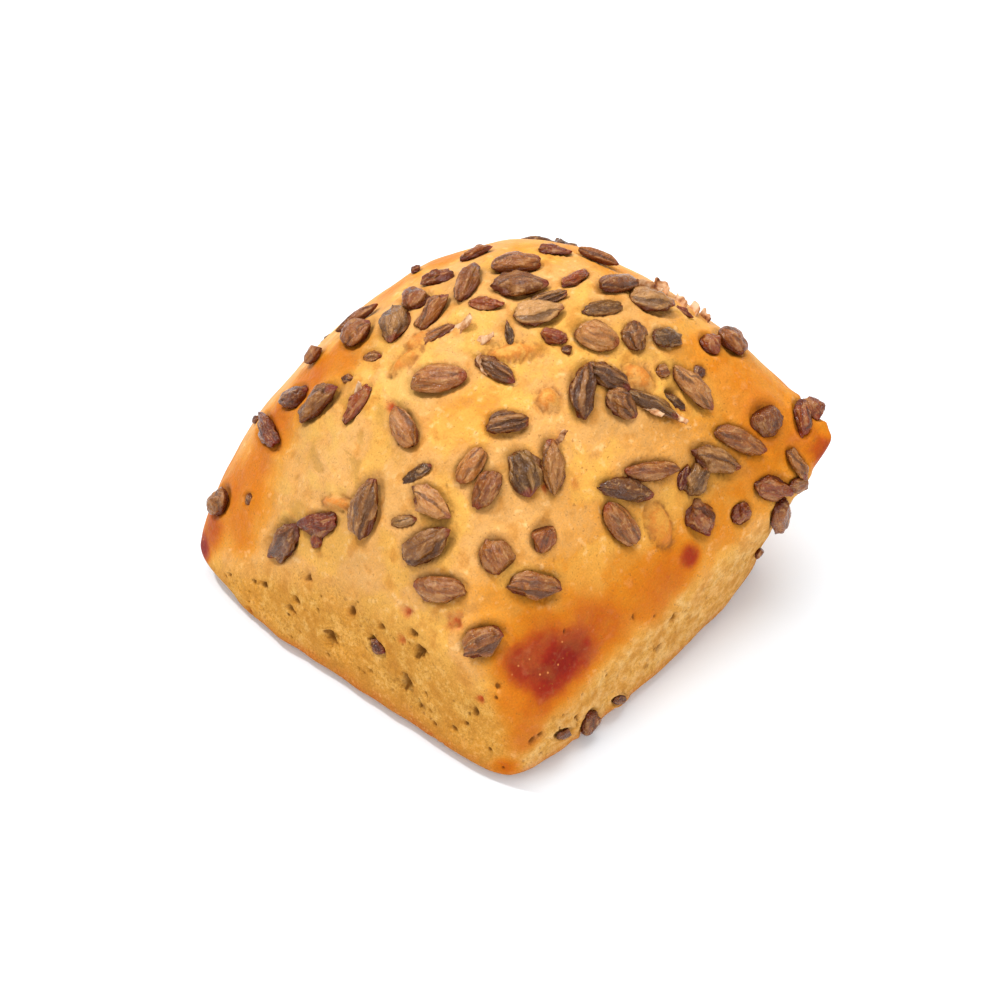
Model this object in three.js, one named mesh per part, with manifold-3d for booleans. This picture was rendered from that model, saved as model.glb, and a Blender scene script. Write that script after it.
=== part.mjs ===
// A square bread roll, cut from a sheet of dough and baked with sunflower kernels on its top.
// Millimetres, +Z up. The roll stands on z = 0 with the middle of its box over the origin, and its cut sides
// face -X, +X, -Y and +Y. The corner at -X, -Y is the near one.
//
// The body is a box whose six sides the oven has shaped: the top swells into a dome, the cut sides arch and
// bow between the corners, and the corners of the top stand out as ears. Kernels are pressed into the top, a
// few into the sides, and gas holes open on the cut sides.
import * as THREE from 'three';
import { mergeVertices } from 'three/addons/utils/BufferGeometryUtils.js';
import Module from 'manifold-3d';

// Driving dimensions
const rollSide = 80; // between neighbouring corners of the top
const rollHeight = 53.4; // from the tin to the crown, without kernels
const kernelLength = 9.4; // a whole hulled sunflower kernel
const kernelWidth = 5.2;
const kernelThickness = 3.4;

const half = rollSide / 2;

// Each corner has an ear, where the crust meets two cut sides, and a foot on the tin. Plan places are shares
// of half the roll's side, heights are shares of its height. flare is how far the ear juts out over the wall
// below it, from 0 for a straight edge.
const corners = {
  near: { ear: [-1.0, -1.05, 0.24], foot: [-1.07, -1.04], flare: 0 },
  left: { ear: [-1.087, 0.987, 0.08], foot: [-1.13, 0.675], flare: 1.8 },
  far: { ear: [0.965, 0.95, 0.35], foot: [0.78, 0.77], flare: 0.6 },
  right: { ear: [1.078, -1.14, 0.505], foot: [0.77, -0.97], flare: 0.9 },
};

// Each cut side runs between two corners. arch is how far the middle of its upper edge rises above the ears,
// and lean moves that rise towards the first corner if negative. edgeBow and footBow move the middles of the
// upper and the lower edge outwards, all as shares. The dome falls to this side as (1 - x^shoulder)^fall.
const sides = {
  nearLeft: {
    from: 'near', to: 'left', out: [-1, 0],
    arch: 0.29, lean: -0.36, edgeBow: -0.03, footBow: 0.014, shoulder: 2.5, fall: 0.9,
  },
  farLeft: {
    from: 'left', to: 'far', out: [0, 1],
    arch: 0.265, lean: -0.16, edgeBow: 0.102, footBow: 0.03, shoulder: 3, fall: 1.0,
  },
  farRight: {
    from: 'right', to: 'far', out: [1, 0],
    arch: 0.225, lean: 0.32, edgeBow: 0.054, footBow: 0.03, shoulder: 3.6, fall: 1.04,
  },
  nearRight: {
    from: 'near', to: 'right', out: [0, -1],
    arch: -0.03, lean: 0.09, edgeBow: -0.03, footBow: 0.061, shoulder: 2.3, fall: 1.02,
  },
};

// Body detail
const topSteps = 20; // facets along each side of the top
const wallSteps = 6; // facets up a cut side
const edgeCrowding = 0.85; // facets narrow towards the edges, where the crust bends most
const earRounding = 0.035; // shares of half the side by which a corner is drawn in
const footRounding = 0.055;
const edgeRounding = 0.022; // the same for the edge between the crust and a cut side
const flareSharpness = 6; // how close to its corner a flare stays
const footRise = 1.6; // rise of the underside at its edge
const footBend = 0.86; // where the underside begins to rise, as a share of half the side
const liftedCorner = 1.8; // the right corner's foot curls up off the tin
const puckers = [ // low waves of the crust: height, lengths along X and Y, phase
  { height: 0.5, alongX: 41, alongY: 53, phase: 0.8 },
  { height: 0.3, alongX: 23, alongY: -19, phase: 2.1 },
];

// Kernels and gas holes
const topKernels = 84;
const topReach = 0.94; // how near to the edge the kernels of the top lie
const kernelGap = 6.6; // least distance between the middles of two kernels
const kernelLengths = [0.7, 1.12]; // shortest and longest, as shares of a whole kernel
const kernelRaise = 0.06; // share of its thickness by which a kernel's middle stands over the crust
const kernelBlunt = 1.18; // girth at the blunt end and how much of it the pointed end loses
const kernelTaper = 0.6;
const sideKernels = 8;
const sideKernelHeights = [-0.7, 0.3]; // from -1 at the tin to 1 at the crust
const sideReach = 0.8; // how near to the corners kernels and holes of the sides lie
const holesPerSide = 5;
const holeHeights = [-0.6, 0.5];
const holeRadii = [0.8, 1.4];
const scatterSeed = 20;

const mix = (a, b, t) => a + (b - a) * t;

// A repeatable draw from 0 to 1.
function makeRandom(seed) {
  let state = seed >>> 0;
  return () => {
    state = (Math.imul(state, 1664525) + 1013904223) >>> 0;
    return state / 4294967296;
  };
}

function cornerPoint(name, level) {
  const [x, y, height = 0] = corners[name][level];
  return new THREE.Vector3(x * half, y * half, height * rollHeight);
}

// The upper ('ear') or lower ('foot') edge of a cut side, for s from -1 at its first corner to 1.
function sideEdge(name, level, s) {
  const side = sides[name];
  const middle = 1 - s * s;
  const bow = (level === 'ear' ? side.edgeBow : side.footBow) * half * middle;
  const point = cornerPoint(side.from, level).lerp(cornerPoint(side.to, level), (s + 1) / 2);
  point.x += side.out[0] * bow;
  point.y += side.out[1] * bow;
  if (level === 'ear') point.z += side.arch * rollHeight * middle * (1 + side.lean * s);
  return point;
}

// The smooth patch that the four edges of one level span, for u along X and v along Y, both from -1 to 1.
function patch(level, u, v) {
  const s = (u + 1) / 2;
  const t = (v + 1) / 2;
  const point = new THREE.Vector3();
  point.addScaledVector(sideEdge('nearLeft', level, v), 1 - s);
  point.addScaledVector(sideEdge('farRight', level, v), s);
  point.addScaledVector(sideEdge('nearRight', level, u), 1 - t);
  point.addScaledVector(sideEdge('farLeft', level, u), t);
  point.addScaledVector(cornerPoint('near', level), -(1 - s) * (1 - t));
  point.addScaledVector(cornerPoint('right', level), -s * (1 - t));
  point.addScaledVector(cornerPoint('left', level), -(1 - s) * t);
  point.addScaledVector(cornerPoint('far', level), -s * t);
  return point;
}

function swell(x, lowSide, highSide) {
  const side = x < 0 ? sides[lowSide] : sides[highSide];
  return Math.max(0, 1 - Math.abs(x) ** side.shoulder) ** side.fall;
}

function topPoint(u, v) {
  const point = patch('ear', u, v);
  const dome = swell(u, 'nearLeft', 'farRight') * swell(v, 'nearRight', 'farLeft');
  point.z += (rollHeight - patch('ear', 0, 0).z) * dome;
  for (const { height, alongX, alongY, phase } of puckers) {
    point.z += height * Math.sin(2 * Math.PI * (point.x / alongX + point.y / alongY) + phase);
  }
  return point;
}

// The underside is flat but for its rising edge and the lifted corner.
function footPoint(u, v) {
  const point = patch('foot', u, v);
  const past = (x, start) => Math.max(0, (x - start) / (1 - start)) ** 2;
  const towardsEdge = Math.max(Math.abs(u), Math.abs(v));
  const towardsRight = ((u + 1) / 2) * ((1 - v) / 2);
  point.z = footRise * past(towardsEdge, footBend) + liftedCorner * past(towardsRight, 0.6);
  return point;
}

// How much the walls flare out towards an ear.
function flareAt(u, v) {
  const s = (u + 1) / 2;
  const t = (v + 1) / 2;
  const { near, left, far, right } = corners;
  return near.flare * ((1 - s) * (1 - t)) ** flareSharpness + left.flare * ((1 - s) * t) ** flareSharpness
    + far.flare * (s * t) ** flareSharpness + right.flare * (s * (1 - t)) ** flareSharpness;
}

// A point of the body for u along X, v along Y and w up, each from -1 to 1.
function bodyPoint(u, v, w) {
  const up = (w + 1) / 2;
  const foot = footPoint(u, v);
  const point = topPoint(u, v);
  const out = up ** (1 + flareAt(u, v));
  point.set(mix(foot.x, point.x, out), mix(foot.y, point.y, out), mix(foot.z, point.z, up));
  const drawnIn = mix(footRounding, earRounding, up) * Math.abs(u * v) ** 8
    + edgeRounding * Math.max(Math.abs(u), Math.abs(v)) ** 16 * up ** 8;
  point.x *= 1 - drawnIn;
  point.y *= 1 - drawnIn;
  return point;
}

// The outward direction of the crust (w = 1) or of a cut side (u or v at -1 or 1).
function outwardAt(u, v, w) {
  const step = 0.02;
  const here = bodyPoint(u, v, w);
  const onSide = Math.abs(u) === 1;
  const across = here.clone().sub(onSide ? bodyPoint(u, v - step, w) : bodyPoint(u - step, v, w));
  const along = here.clone().sub(w === 1 ? bodyPoint(u, v - step, w) : bodyPoint(u, v, w - step));
  const outward = across.cross(along).normalize();
  const inside = new THREE.Vector3(0, 0, rollHeight / 3);
  return outward.dot(here.sub(inside)) < 0 ? outward.negate() : outward;
}

const wasm = await Module();
wasm.setup();

function toSolid(geometry) {
  geometry.deleteAttribute('normal');
  geometry.deleteAttribute('uv');
  const merged = mergeVertices(geometry, 1e-3);
  return new wasm.Manifold(new wasm.Mesh({
    numProp: 3,
    vertProperties: new Float32Array(merged.attributes.position.array),
    triVerts: new Uint32Array(merged.index.array),
  }));
}

function toGeometry(solid) {
  const { vertProperties, triVerts } = solid.getMesh();
  return new THREE.BufferGeometry()
    .setAttribute('position', new THREE.BufferAttribute(vertProperties, 3))
    .setIndex(new THREE.BufferAttribute(triVerts, 1))
    .toNonIndexed();
}

function makeBody() {
  const box = new THREE.BoxGeometry(2, 2, 2, topSteps, topSteps, wallSteps);
  const place = box.attributes.position;
  const crowd = (x) => Math.sin(x * edgeCrowding * Math.PI / 2) / Math.sin(edgeCrowding * Math.PI / 2);
  for (let i = 0; i < place.count; i += 1) {
    const point = bodyPoint(crowd(place.getX(i)), crowd(place.getY(i)), place.getZ(i));
    place.setXYZ(i, point.x, point.y, point.z);
  }
  return toSolid(box);
}

// A kernel lies along +Y, blunt at -Y and pointed at +Y.
function makeKernel(length) {
  const kernel = new THREE.SphereGeometry(0.5, 6, 4);
  const place = kernel.attributes.position;
  for (let i = 0; i < place.count; i += 1) {
    const along = place.getY(i);
    const girth = kernelBlunt - kernelTaper * (along + 0.5) ** 2;
    const across = place.getX(i) * girth * kernelWidth;
    const through = place.getZ(i) * girth * kernelThickness;
    place.setXYZ(i, across, along * length, through);
  }
  return kernel;
}

// Turns a shape's +Z to the crust's outward direction and its +Y to a heading on the crust.
function layOn(geometry, point, outward, heading) {
  const reference = Math.abs(outward.z) > 0.5 ? new THREE.Vector3(1, 0, 0) : new THREE.Vector3(0, 0, 1);
  const along = reference.cross(outward).normalize().applyAxisAngle(outward, heading);
  const across = along.clone().cross(outward);
  const turned = new THREE.Matrix4().makeBasis(across, along, outward).setPosition(point);
  return geometry.applyMatrix4(turned);
}

// Draws places on the top until the wanted number lie at least kernelGap apart.
function scatterOnTop(random) {
  const places = [];
  while (places.length < topKernels) {
    const u = mix(-topReach, topReach, random());
    const v = mix(-topReach, topReach, random());
    const point = bodyPoint(u, v, 1);
    if (places.every((other) => other.point.distanceTo(point) > kernelGap)) {
      places.push({ point, outward: outwardAt(u, v, 1) });
    }
  }
  return places;
}

function placeOnSide(name, s, height) {
  const [x, y] = sides[name].out;
  const u = x || s;
  const v = y || s;
  return { point: bodyPoint(u, v, height), outward: outwardAt(u, v, height) };
}

function makeKernels(random) {
  const places = scatterOnTop(random);
  const names = Object.keys(sides);
  for (let i = 0; i < sideKernels; i += 1) {
    const s = mix(-sideReach, sideReach, random());
    places.push(placeOnSide(names[i % names.length], s, mix(...sideKernelHeights, random())));
  }
  return places.map(({ point, outward }) => {
    const kernel = makeKernel(kernelLength * mix(...kernelLengths, random()));
    const middle = point.addScaledVector(outward, kernelThickness * kernelRaise);
    return toSolid(layOn(kernel, middle, outward, random() * 2 * Math.PI));
  });
}

// Gas holes are shallow pits with their middles on the cut side.
function makeHoles(random) {
  const holes = [];
  for (const name of Object.keys(sides)) {
    for (let i = 0; i < holesPerSide; i += 1) {
      const s = mix(-sideReach, sideReach, (i + random()) / holesPerSide);
      const { point, outward } = placeOnSide(name, s, mix(...holeHeights, random()));
      const hole = new THREE.SphereGeometry(mix(...holeRadii, random()), 6, 4);
      holes.push(toSolid(layOn(hole, point, outward, random() * Math.PI)));
    }
  }
  return holes;
}

function makeRoll() {
  const random = makeRandom(scatterSeed);
  const kernels = makeKernels(random);
  const holes = makeHoles(random);
  let solid = makeBody();
  for (const hole of holes) solid = solid.subtract(hole);
  for (const kernel of kernels) solid = solid.add(kernel);
  // Crumbs that the holes cut loose and hollows that the kernels seal are left out.
  solid = solid.decompose().sort((a, b) => b.volume() - a.volume())[0];

  const geometry = toGeometry(solid);
  geometry.computeBoundingBox();
  const middle = geometry.boundingBox.getCenter(new THREE.Vector3());
  geometry.translate(-middle.x, -middle.y, 0);
  const crust = new THREE.MeshStandardMaterial({ color: 0xe0a04e, roughness: 0.62, metalness: 0 });
  const roll = new THREE.Mesh(geometry, crust);
  roll.name = 'roll';
  return roll;
}

const breadRoll = new THREE.Group();
breadRoll.add(makeRoll());

export default breadRoll;
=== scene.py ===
# A square bread roll baked with sunflower kernels, photographed on a pale surface.
import math
import random
import bpy
from mathutils import Matrix, Vector, noise
from mathutils.bvhtree import BVHTree
from mathutils.kdtree import KDTree


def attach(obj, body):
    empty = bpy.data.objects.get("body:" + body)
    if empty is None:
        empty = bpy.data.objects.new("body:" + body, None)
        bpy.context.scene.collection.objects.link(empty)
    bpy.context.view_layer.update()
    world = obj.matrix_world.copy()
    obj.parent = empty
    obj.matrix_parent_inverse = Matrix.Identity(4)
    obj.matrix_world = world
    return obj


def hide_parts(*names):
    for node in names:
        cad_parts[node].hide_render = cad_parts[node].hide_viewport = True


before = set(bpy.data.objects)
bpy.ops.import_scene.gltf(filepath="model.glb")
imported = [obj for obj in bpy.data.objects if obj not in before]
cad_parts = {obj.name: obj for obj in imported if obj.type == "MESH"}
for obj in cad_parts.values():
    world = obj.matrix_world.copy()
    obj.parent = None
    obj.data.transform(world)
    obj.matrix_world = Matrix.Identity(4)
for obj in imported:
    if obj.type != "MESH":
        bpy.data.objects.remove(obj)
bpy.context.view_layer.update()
mm = 0.001
scene = bpy.context.scene

# The photograph's camera: where it looks, from how far, and its lens
photoCamera = {
    "heading": 42.86,    # degrees from +X towards +Y
    "elevation": 45.02,  # degrees above the surface
    "distance": 650 * mm,
    "aim": Vector((-3.799, -2.586, 18)) * mm,
    "lens": 131.04,
    "sensor": 36,        # mm across, as the lens
    "size": 1000,        # pixels along each side
    "spread": 5,         # pixels between the rays that find which way the crust faces
    "tries": 40,         # steps that a pixel off the outline may take towards the picture's middle
    "strides": 100,      # steps that would take it all the way
}

# The roll's form. Plan places are shares of half its side, heights shares of its height.
roll = {
    "half": 40 * mm,
    "height": 53.4 * mm,
    "boxMiddle": Vector((-0.856, -1.254, 0)) * mm,  # where this form's box has its middle
    "corners": {
        "near": {"ear": (-1.0, -1.05, 0.24), "foot": (-1.07, -1.04), "flare": 0},
        "left": {"ear": (-1.087, 0.987, 0.08), "foot": (-1.13, 0.675), "flare": 1.8},
        "far": {"ear": (0.965, 0.95, 0.35), "foot": (0.78, 0.77), "flare": 0.6},
        "right": {"ear": (1.078, -1.14, 0.505), "foot": (0.77, -0.97), "flare": 0.9},
    },
    "sides": {
        "nearLeft": dict(ends=("near", "left"), out=(-1, 0), arch=0.29, lean=-0.36, edgeBow=-0.03,
                         footBow=0.014, shoulder=2.5, fall=0.9),
        "farLeft": dict(ends=("left", "far"), out=(0, 1), arch=0.265, lean=-0.16, edgeBow=0.102,
                        footBow=0.03, shoulder=3, fall=1.0),
        "farRight": dict(ends=("right", "far"), out=(1, 0), arch=0.225, lean=0.32, edgeBow=0.054,
                         footBow=0.03, shoulder=3.6, fall=1.04),
        "nearRight": dict(ends=("near", "right"), out=(0, -1), arch=-0.03, lean=0.09, edgeBow=-0.03,
                          footBow=0.061, shoulder=2.3, fall=1.02),
    },
    "flareSharpness": 6,      # how close to its corner a flare stays
    "steps": (20, 20, 8),     # faces along X, Y and up, before smoothing
    "smoothing": 3,           # levels of Subdivision Surface
    "crowding": 0.85,         # faces narrow towards the edges
    "earRounding": 0.035,     # how far the upright corners are drawn in, at the top
    "footRounding": 0.055,    # the same at the foot
    "cornerSharpness": 8,
    "edgeRounding": 0.022,    # how far the top's edges are drawn in
    "edgeSharpness": (16, 8),  # across the edge and up to it
    "footRise": 1.6 * mm,     # how far the underside's rim curls up
    "footBend": 0.86,         # and from where on
    "liftedCorner": 1.8 * mm,  # how far the right-hand corner stands off the surface
    "liftedFrom": 0.6,
    "onEdge": 0.999,          # of the cube's half side, from where on a point is on its outside
    "crustedEdge": 0.4,       # how much of a cut side's finish the top's edge has
    "bottomEdge": 0.5,        # how much of the underside's finish the foot has
    "puckers": ((0.5, 41, 53, 0.8), (0.3, 23, -19, 2.1)),  # height, lengths along X and Y in mm, phase
    "lumps": ((0.55, 14), (0.22, 5.5)),   # height and size in mm of the crust's unevenness
    "raggedFoot": dict(height=0.7, size=5, fall=4),  # the same along the foot of the cut sides
}

# Kernels that the photograph shows: x, y, length and width in its pixels, the heading of the pointed end in
# degrees anticlockwise from the right, and a tone from dark (0) to pale (1)
shownKernels = {
    "plump": [
        (516, 267, 50, 14, 7, 0.55), (598, 258, 44, 16, -33, 0.5), (438, 381, 58, 27, 7, 0.55),
        (650, 471, 58, 21, 184, 0.5), (619, 523, 50, 27, 126, 0.5), (692, 389, 58, 20, -50, 0.7),
        (739, 441, 56, 22, -23, 0.55), (406, 428, 44, 24, 118, 0.6), (595, 338, 47, 27, -18, 0.85),
        (440, 588, 50, 29, 172, 0.5), (471, 467, 43, 23, 233, 0.7), (358, 319, 50, 14, 38, 0.45),
        (730, 343, 34, 15, -38, 0.5), (618, 287, 38, 14, 6, 0.4),
    ],
    "ridged": [
        (521, 288, 56, 24, 2, 0.4), (652, 304, 46, 20, -15, 0.75), (368, 507, 62, 26, 76, 0.6),
        (320, 403, 52, 19, 40, 0.55), (486, 491, 44, 27, 240, 0.45), (552, 466, 54, 25, 95, 0.65),
        (432, 504, 48, 28, -37, 0.85), (429, 545, 56, 31, 33, 0.5), (484, 642, 44, 33, 25, 0.5),
        (434, 312, 46, 15, 47, 0.6), (359, 334, 36, 17, 40, 0.5), (469, 284, 38, 19, 62, 0.45),
        (715, 461, 54, 26, -18, 0.55), (540, 315, 50, 23, 8, 0.95), (535, 586, 54, 29, -5, 0.55),
        (797, 465, 36, 14, -60, 0.7), (222, 501, 26, 15, 85, 0.6),
    ],
    "wrinkled": [
        (585, 392, 55, 30, 84, 0.3), (606, 378, 46, 22, -28, 0.45), (619, 406, 36, 25, -38, 0.45),
        (651, 405, 58, 17, -27, 0.6), (625, 491, 52, 24, -8, 0.3), (696, 481, 34, 26, 60, 0.55),
        (507, 425, 44, 25, 12, 0.5), (523, 473, 46, 33, -72, 0.5), (636, 338, 28, 26, 92, 0.45),
        (667, 340, 31, 21, -5, 0.55), (395, 325, 30, 27, 265, 0.65), (285, 541, 41, 26, 230, 0.35),
        (548, 300, 40, 12, 14, 0.55), (494, 370, 44, 18, -30, 0.5),
    ],
    "red": [
        (476, 252, 34, 14, 20, 0.5), (436, 277, 40, 25, 175, 0.4), (486, 304, 34, 12, -3, 0.5),
        (556, 250, 38, 18, -32, 0.35), (576, 279, 30, 11, 30, 0.5), (710, 345, 24, 15, -48, 0.5),
        (699, 519, 36, 29, -55, 0.4), (741, 514, 21, 20, 30, 0.4), (773, 488, 34, 26, -5, 0.5),
        (320, 525, 36, 24, 15, 0.25), (554, 338, 28, 15, -15, 0.45), (815, 408, 26, 14, -55, 0.4),
        (802, 418, 36, 16, -82, 0.4), (357, 404, 48, 13, 56, 0.6), (684, 312, 24, 9, -5, 0.3),
        (268, 432, 38, 18, -62, 0.2), (684, 478, 27, 13, 75, 0.1), (317, 540, 18, 12, 250, 0.4),
        (378, 647, 18, 10, -35, 0.2),
    ],
    "broken": [
        (497, 557, 38, 35, -65, 0.5), (766, 420, 34, 30, 110, 0.3), (416, 300, 26, 24, 45, 0.45),
        (543, 537, 31, 24, 75, 0.5), (295, 398, 25, 18, 20, 0.25), (313, 353, 27, 18, 20, 0.5),
        (663, 371, 14, 14, 0, 0.35), (699, 372, 14, 12, 60, 0.1), (589, 722, 24, 14, 80, 0.3),
        (565, 733, 19, 9, 10, 0.3), (619, 700, 13, 9, 0, 0.2), (764, 554, 13, 8, 40, 0.35),
        (799, 484, 20, 15, 10, 0.45), (780, 515, 32, 15, 82, 0.45), (567, 350, 12, 9, 0, 0.2),
        (257, 419, 12, 9, 0, 0.2), (416, 269, 14, 10, 150, 0.3),
    ],
    "sunk": [
        (605, 307, 44, 16, 10, 0.35), (432, 335, 56, 10, 24, 0.5), (403, 521, 28, 14, 12, 0.6),
        (372, 356, 20, 10, 5, 0.5), (347, 378, 13, 9, 0, 0.3), (509, 333, 24, 10, 100, 0),
        (417, 473, 36, 13, 28, 0.05), (676, 402, 26, 9, -40, 0.1), (248, 499, 12, 7, 90, 0.3),
    ],
}
# Kernels that the skin of the dough covers: the same without the tone
coveredKernels = [
    (405, 362, 42, 13, 40), (515, 352, 60, 18, 8), (548, 399, 25, 24, 0), (638, 377, 38, 20, -38),
    (660, 525, 44, 24, -66), (338, 503, 34, 14, -5), (418, 340, 30, 12, 30),
]
# Gas holes in the cut sides: x, y and width in the photograph's pixels
shownHoles = [
    (307, 578, 12), (263, 585, 10), (254, 582, 7), (296, 600, 10), (289, 609, 11), (351, 610, 12),
    (329, 637, 16), (374, 640, 13), (381, 649, 12), (418, 652, 19), (412, 634, 10), (404, 681, 20),
    (425, 694, 8), (475, 712, 10), (420, 706, 7), (466, 724, 7), (434, 724, 7), (453, 728, 7),
    (381, 626, 10), (497, 687, 6), (496, 698, 5), (675, 618, 11), (661, 647, 10), (566, 632, 6),
    (633, 617, 6), (541, 735, 7), (533, 741, 10), (673, 392, 18),
]
# Small spots on the crust: x, y and width in pixels, for black crumbs and for red scorched ones
shownSpecks = {
    "black": [
        (391, 376, 5), (565, 631, 5), (555, 561, 4), (399, 444, 4), (503, 768, 5), (655, 616, 4),
        (470, 337, 4), (446, 486, 4), (661, 646, 7), (341, 489, 4), (590, 598, 4),
    ],
    "red": [
        (392, 407, 12), (406, 613, 14), (456, 622, 16), (450, 625, 10), (402, 640, 9), (480, 700, 9),
        (432, 740, 10), (440, 745, 8), (247, 612, 10), (545, 486, 9), (575, 483, 8),
    ],
}
# Where the crust is browned most: x, y and reach in the photograph's pixels, then how far from pale (0) to
# almost burnt (1)
bakedPatches = {
    "nearCorner": [
        (562, 662, 38, 0.96), (578, 648, 30, 0.9), (545, 682, 30, 0.9), (521, 667, 30, 0.84),
        (543, 652, 34, 0.76), (552, 655, 66, 0.62), (585, 622, 36, 0.52), (540, 706, 30, 0.55),
        (527, 738, 32, 0.52), (516, 704, 32, 0.46),
    ],
    "nearRightEdge": [
        (605, 622, 40, 0.56), (650, 590, 46, 0.5), (690, 556, 16, 0.86), (676, 566, 34, 0.52),
        (725, 520, 40, 0.36), (640, 590, 90, 0.34), (700, 520, 70, 0.3), (752, 486, 40, 0.34),
        (590, 600, 70, 0.3),
    ],
    "nearFoot": [
        (505, 768, 22, 0.6), (515, 750, 30, 0.35),
    ],
    "leftEar": [
        (203, 546, 20, 1.0), (212, 528, 32, 0.64), (232, 490, 44, 0.48), (256, 470, 40, 0.47),
        (250, 500, 40, 0.4), (275, 425, 44, 0.55), (310, 382, 44, 0.55), (345, 355, 38, 0.48),
        (225, 515, 40, 0.4),
    ],
    "rightEar": [
        (824, 452, 24, 0.78), (808, 438, 40, 0.5), (775, 420, 66, 0.42), (740, 390, 70, 0.4),
        (705, 350, 50, 0.34), (760, 460, 56, 0.42), (690, 430, 70, 0.24),
    ],
    "left": [
        (240, 528, 36, 0.44), (262, 500, 30, 0.3),
    ],
    "top": [
        (480, 412, 40, 0.26), (600, 360, 60, 0.14), (590, 500, 46, 0.2), (450, 420, 26, 0.24),
        (500, 610, 44, 0.3), (570, 600, 50, 0.3), (440, 252, 34, 0.42), (395, 280, 44, 0.36),
        (560, 245, 34, 0.34), (610, 265, 40, 0.3), (380, 300, 40, 0.3), (530, 250, 50, 0.25),
    ],
}
stretchedSkin = [(335, 450, 75), (300, 500, 50), (390, 380, 60), (500, 330, 60)]  # x, y and reach in pixels
# Olive-brown smudges where oil from the kernels has soaked in: x, y, reach and depth
oilySmudges = [
    (390, 475, 76, 0.55), (345, 535, 76, 0.55), (320, 450, 84, 0.5), (300, 510, 64, 0.5),
    (400, 570, 60, 0.45), (425, 480, 42, 0.7), (590, 400, 46, 0.6), (520, 330, 34, 0.5),
    (365, 350, 34, 0.6), (450, 290, 36, 0.5), (500, 275, 40, 0.5), (575, 310, 50, 0.45),
    (640, 330, 44, 0.4), (560, 300, 40, 0.4), (655, 500, 40, 0.35), (520, 470, 44, 0.35),
    (440, 540, 50, 0.3), (330, 540, 34, 0.3), (410, 330, 46, 0.4), (480, 640, 26, 0.3), (690, 385, 30, 0.4),
    (630, 490, 40, 0.4), (700, 470, 40, 0.3), (300, 400, 30, 0.3),
]


# Small helpers

def mix(a, b, t):
    return a + (b - a) * t


def smoothStep(low, high, x):
    t = min(1, max(0, (x - low) / (high - low)))
    return t * t * (3 - 2 * t)


def waves(place, size, seed=0):
    return noise.noise(place / (size * mm) + Vector((seed * 17.3, seed * 5.1, seed * 9.7)))


def hexColour(code):
    channels = [int(code[i:i + 2], 16) / 255 for i in (1, 3, 5)]
    return [c / 12.92 if c <= 0.04045 else ((c + 0.055) / 1.055) ** 2.4 for c in channels] + [1]


def deselectAll():
    bpy.ops.object.select_all(action="DESELECT")


def applyModifier(piece, kind, **settings):
    modifier = piece.modifiers.new(kind.title(), kind)
    for name, value in settings.items():
        setattr(modifier, name, value)
    deselectAll()
    bpy.context.view_layer.objects.active = piece
    piece.select_set(True)
    bpy.ops.object.modifier_apply(modifier=modifier.name)


def setValues(piece, name, values):
    piece.data.attributes.new(name, "FLOAT", "POINT").data.foreach_set("value", values)


def getValues(piece, name):
    values = [0.0] * len(piece.data.vertices)
    piece.data.attributes[name].data.foreach_get("value", values)
    return values


def joinAs(name, pieces):
    deselectAll()
    for piece in pieces:
        piece.select_set(True)
    bpy.context.view_layer.objects.active = pieces[0]
    bpy.ops.object.join()
    pieces[0].name = name
    return pieces[0]


# The camera and the photograph's pixels

def viewDirections():
    heading, elevation = math.radians(photoCamera["heading"]), math.radians(photoCamera["elevation"])
    ahead = Vector((math.cos(heading) * math.cos(elevation), math.sin(heading) * math.cos(elevation),
                    -math.sin(elevation)))
    right = Vector((math.sin(heading), -math.cos(heading), 0))
    return ahead, right, right.cross(ahead)


def makeCamera():
    ahead = viewDirections()[0]
    bpy.ops.object.camera_add(location=photoCamera["aim"] - ahead * photoCamera["distance"])
    camera = bpy.context.object
    camera.rotation_euler = ahead.to_track_quat("-Z", "Y").to_euler()
    camera.data.lens = photoCamera["lens"]
    camera.data.sensor_width = photoCamera["sensor"]
    camera.data.clip_start = 0.01
    scene.camera = camera


def lensPixels():
    return photoCamera["lens"] / photoCamera["sensor"] * photoCamera["size"]


def pixelsPerMetre():  # at the distance of the roll
    return lensPixels() / photoCamera["distance"]


def rayThrough(x, y):
    ahead, right, up = viewDirections()
    middle = photoCamera["size"] / 2
    direction = ahead + right * (x - middle) / lensPixels() + up * (middle - y) / lensPixels()
    return photoCamera["aim"] - ahead * photoCamera["distance"], direction.normalized()


# Where the ray through a pixel meets the crust, and which way the crust faces there. A pixel just off the
# outline moves towards the picture's middle first.
def castOn(tree, x, y):
    middle, spread = photoCamera["size"] / 2, photoCamera["spread"]
    for step in range(photoCamera["tries"]):
        towards = step / photoCamera["strides"]
        atX, atY = mix(x, middle, towards), mix(y, middle, towards)
        point = tree.ray_cast(*rayThrough(atX, atY))[0]
        if point:
            around = [(atX + spread * i, atY + spread * j) for i in (-1, 0, 1) for j in (-1, 0, 1)]
            hits = [tree.ray_cast(*rayThrough(*pixel)) for pixel in around]
            outward = sum((hit[1] for hit in hits if hit[0]), Vector())
            return point, outward.normalized()
    raise ValueError("the roll isn't at pixel " + str((x, y)))


# The body of the roll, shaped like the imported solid

def cornerPoint(name, level):
    x, y, *height = roll["corners"][name][level]
    return Vector((x * roll["half"], y * roll["half"], height[0] * roll["height"] if height else 0))


def sideEdge(name, level, s):
    side = roll["sides"][name]
    first, last = side["ends"]
    middle = 1 - s * s
    bow = side["edgeBow" if level == "ear" else "footBow"] * roll["half"] * middle
    point = cornerPoint(first, level).lerp(cornerPoint(last, level), (s + 1) / 2)
    point += Vector((*side["out"], 0)) * bow
    if level == "ear":
        point.z += side["arch"] * roll["height"] * middle * (1 + side["lean"] * s)
    return point


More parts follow.
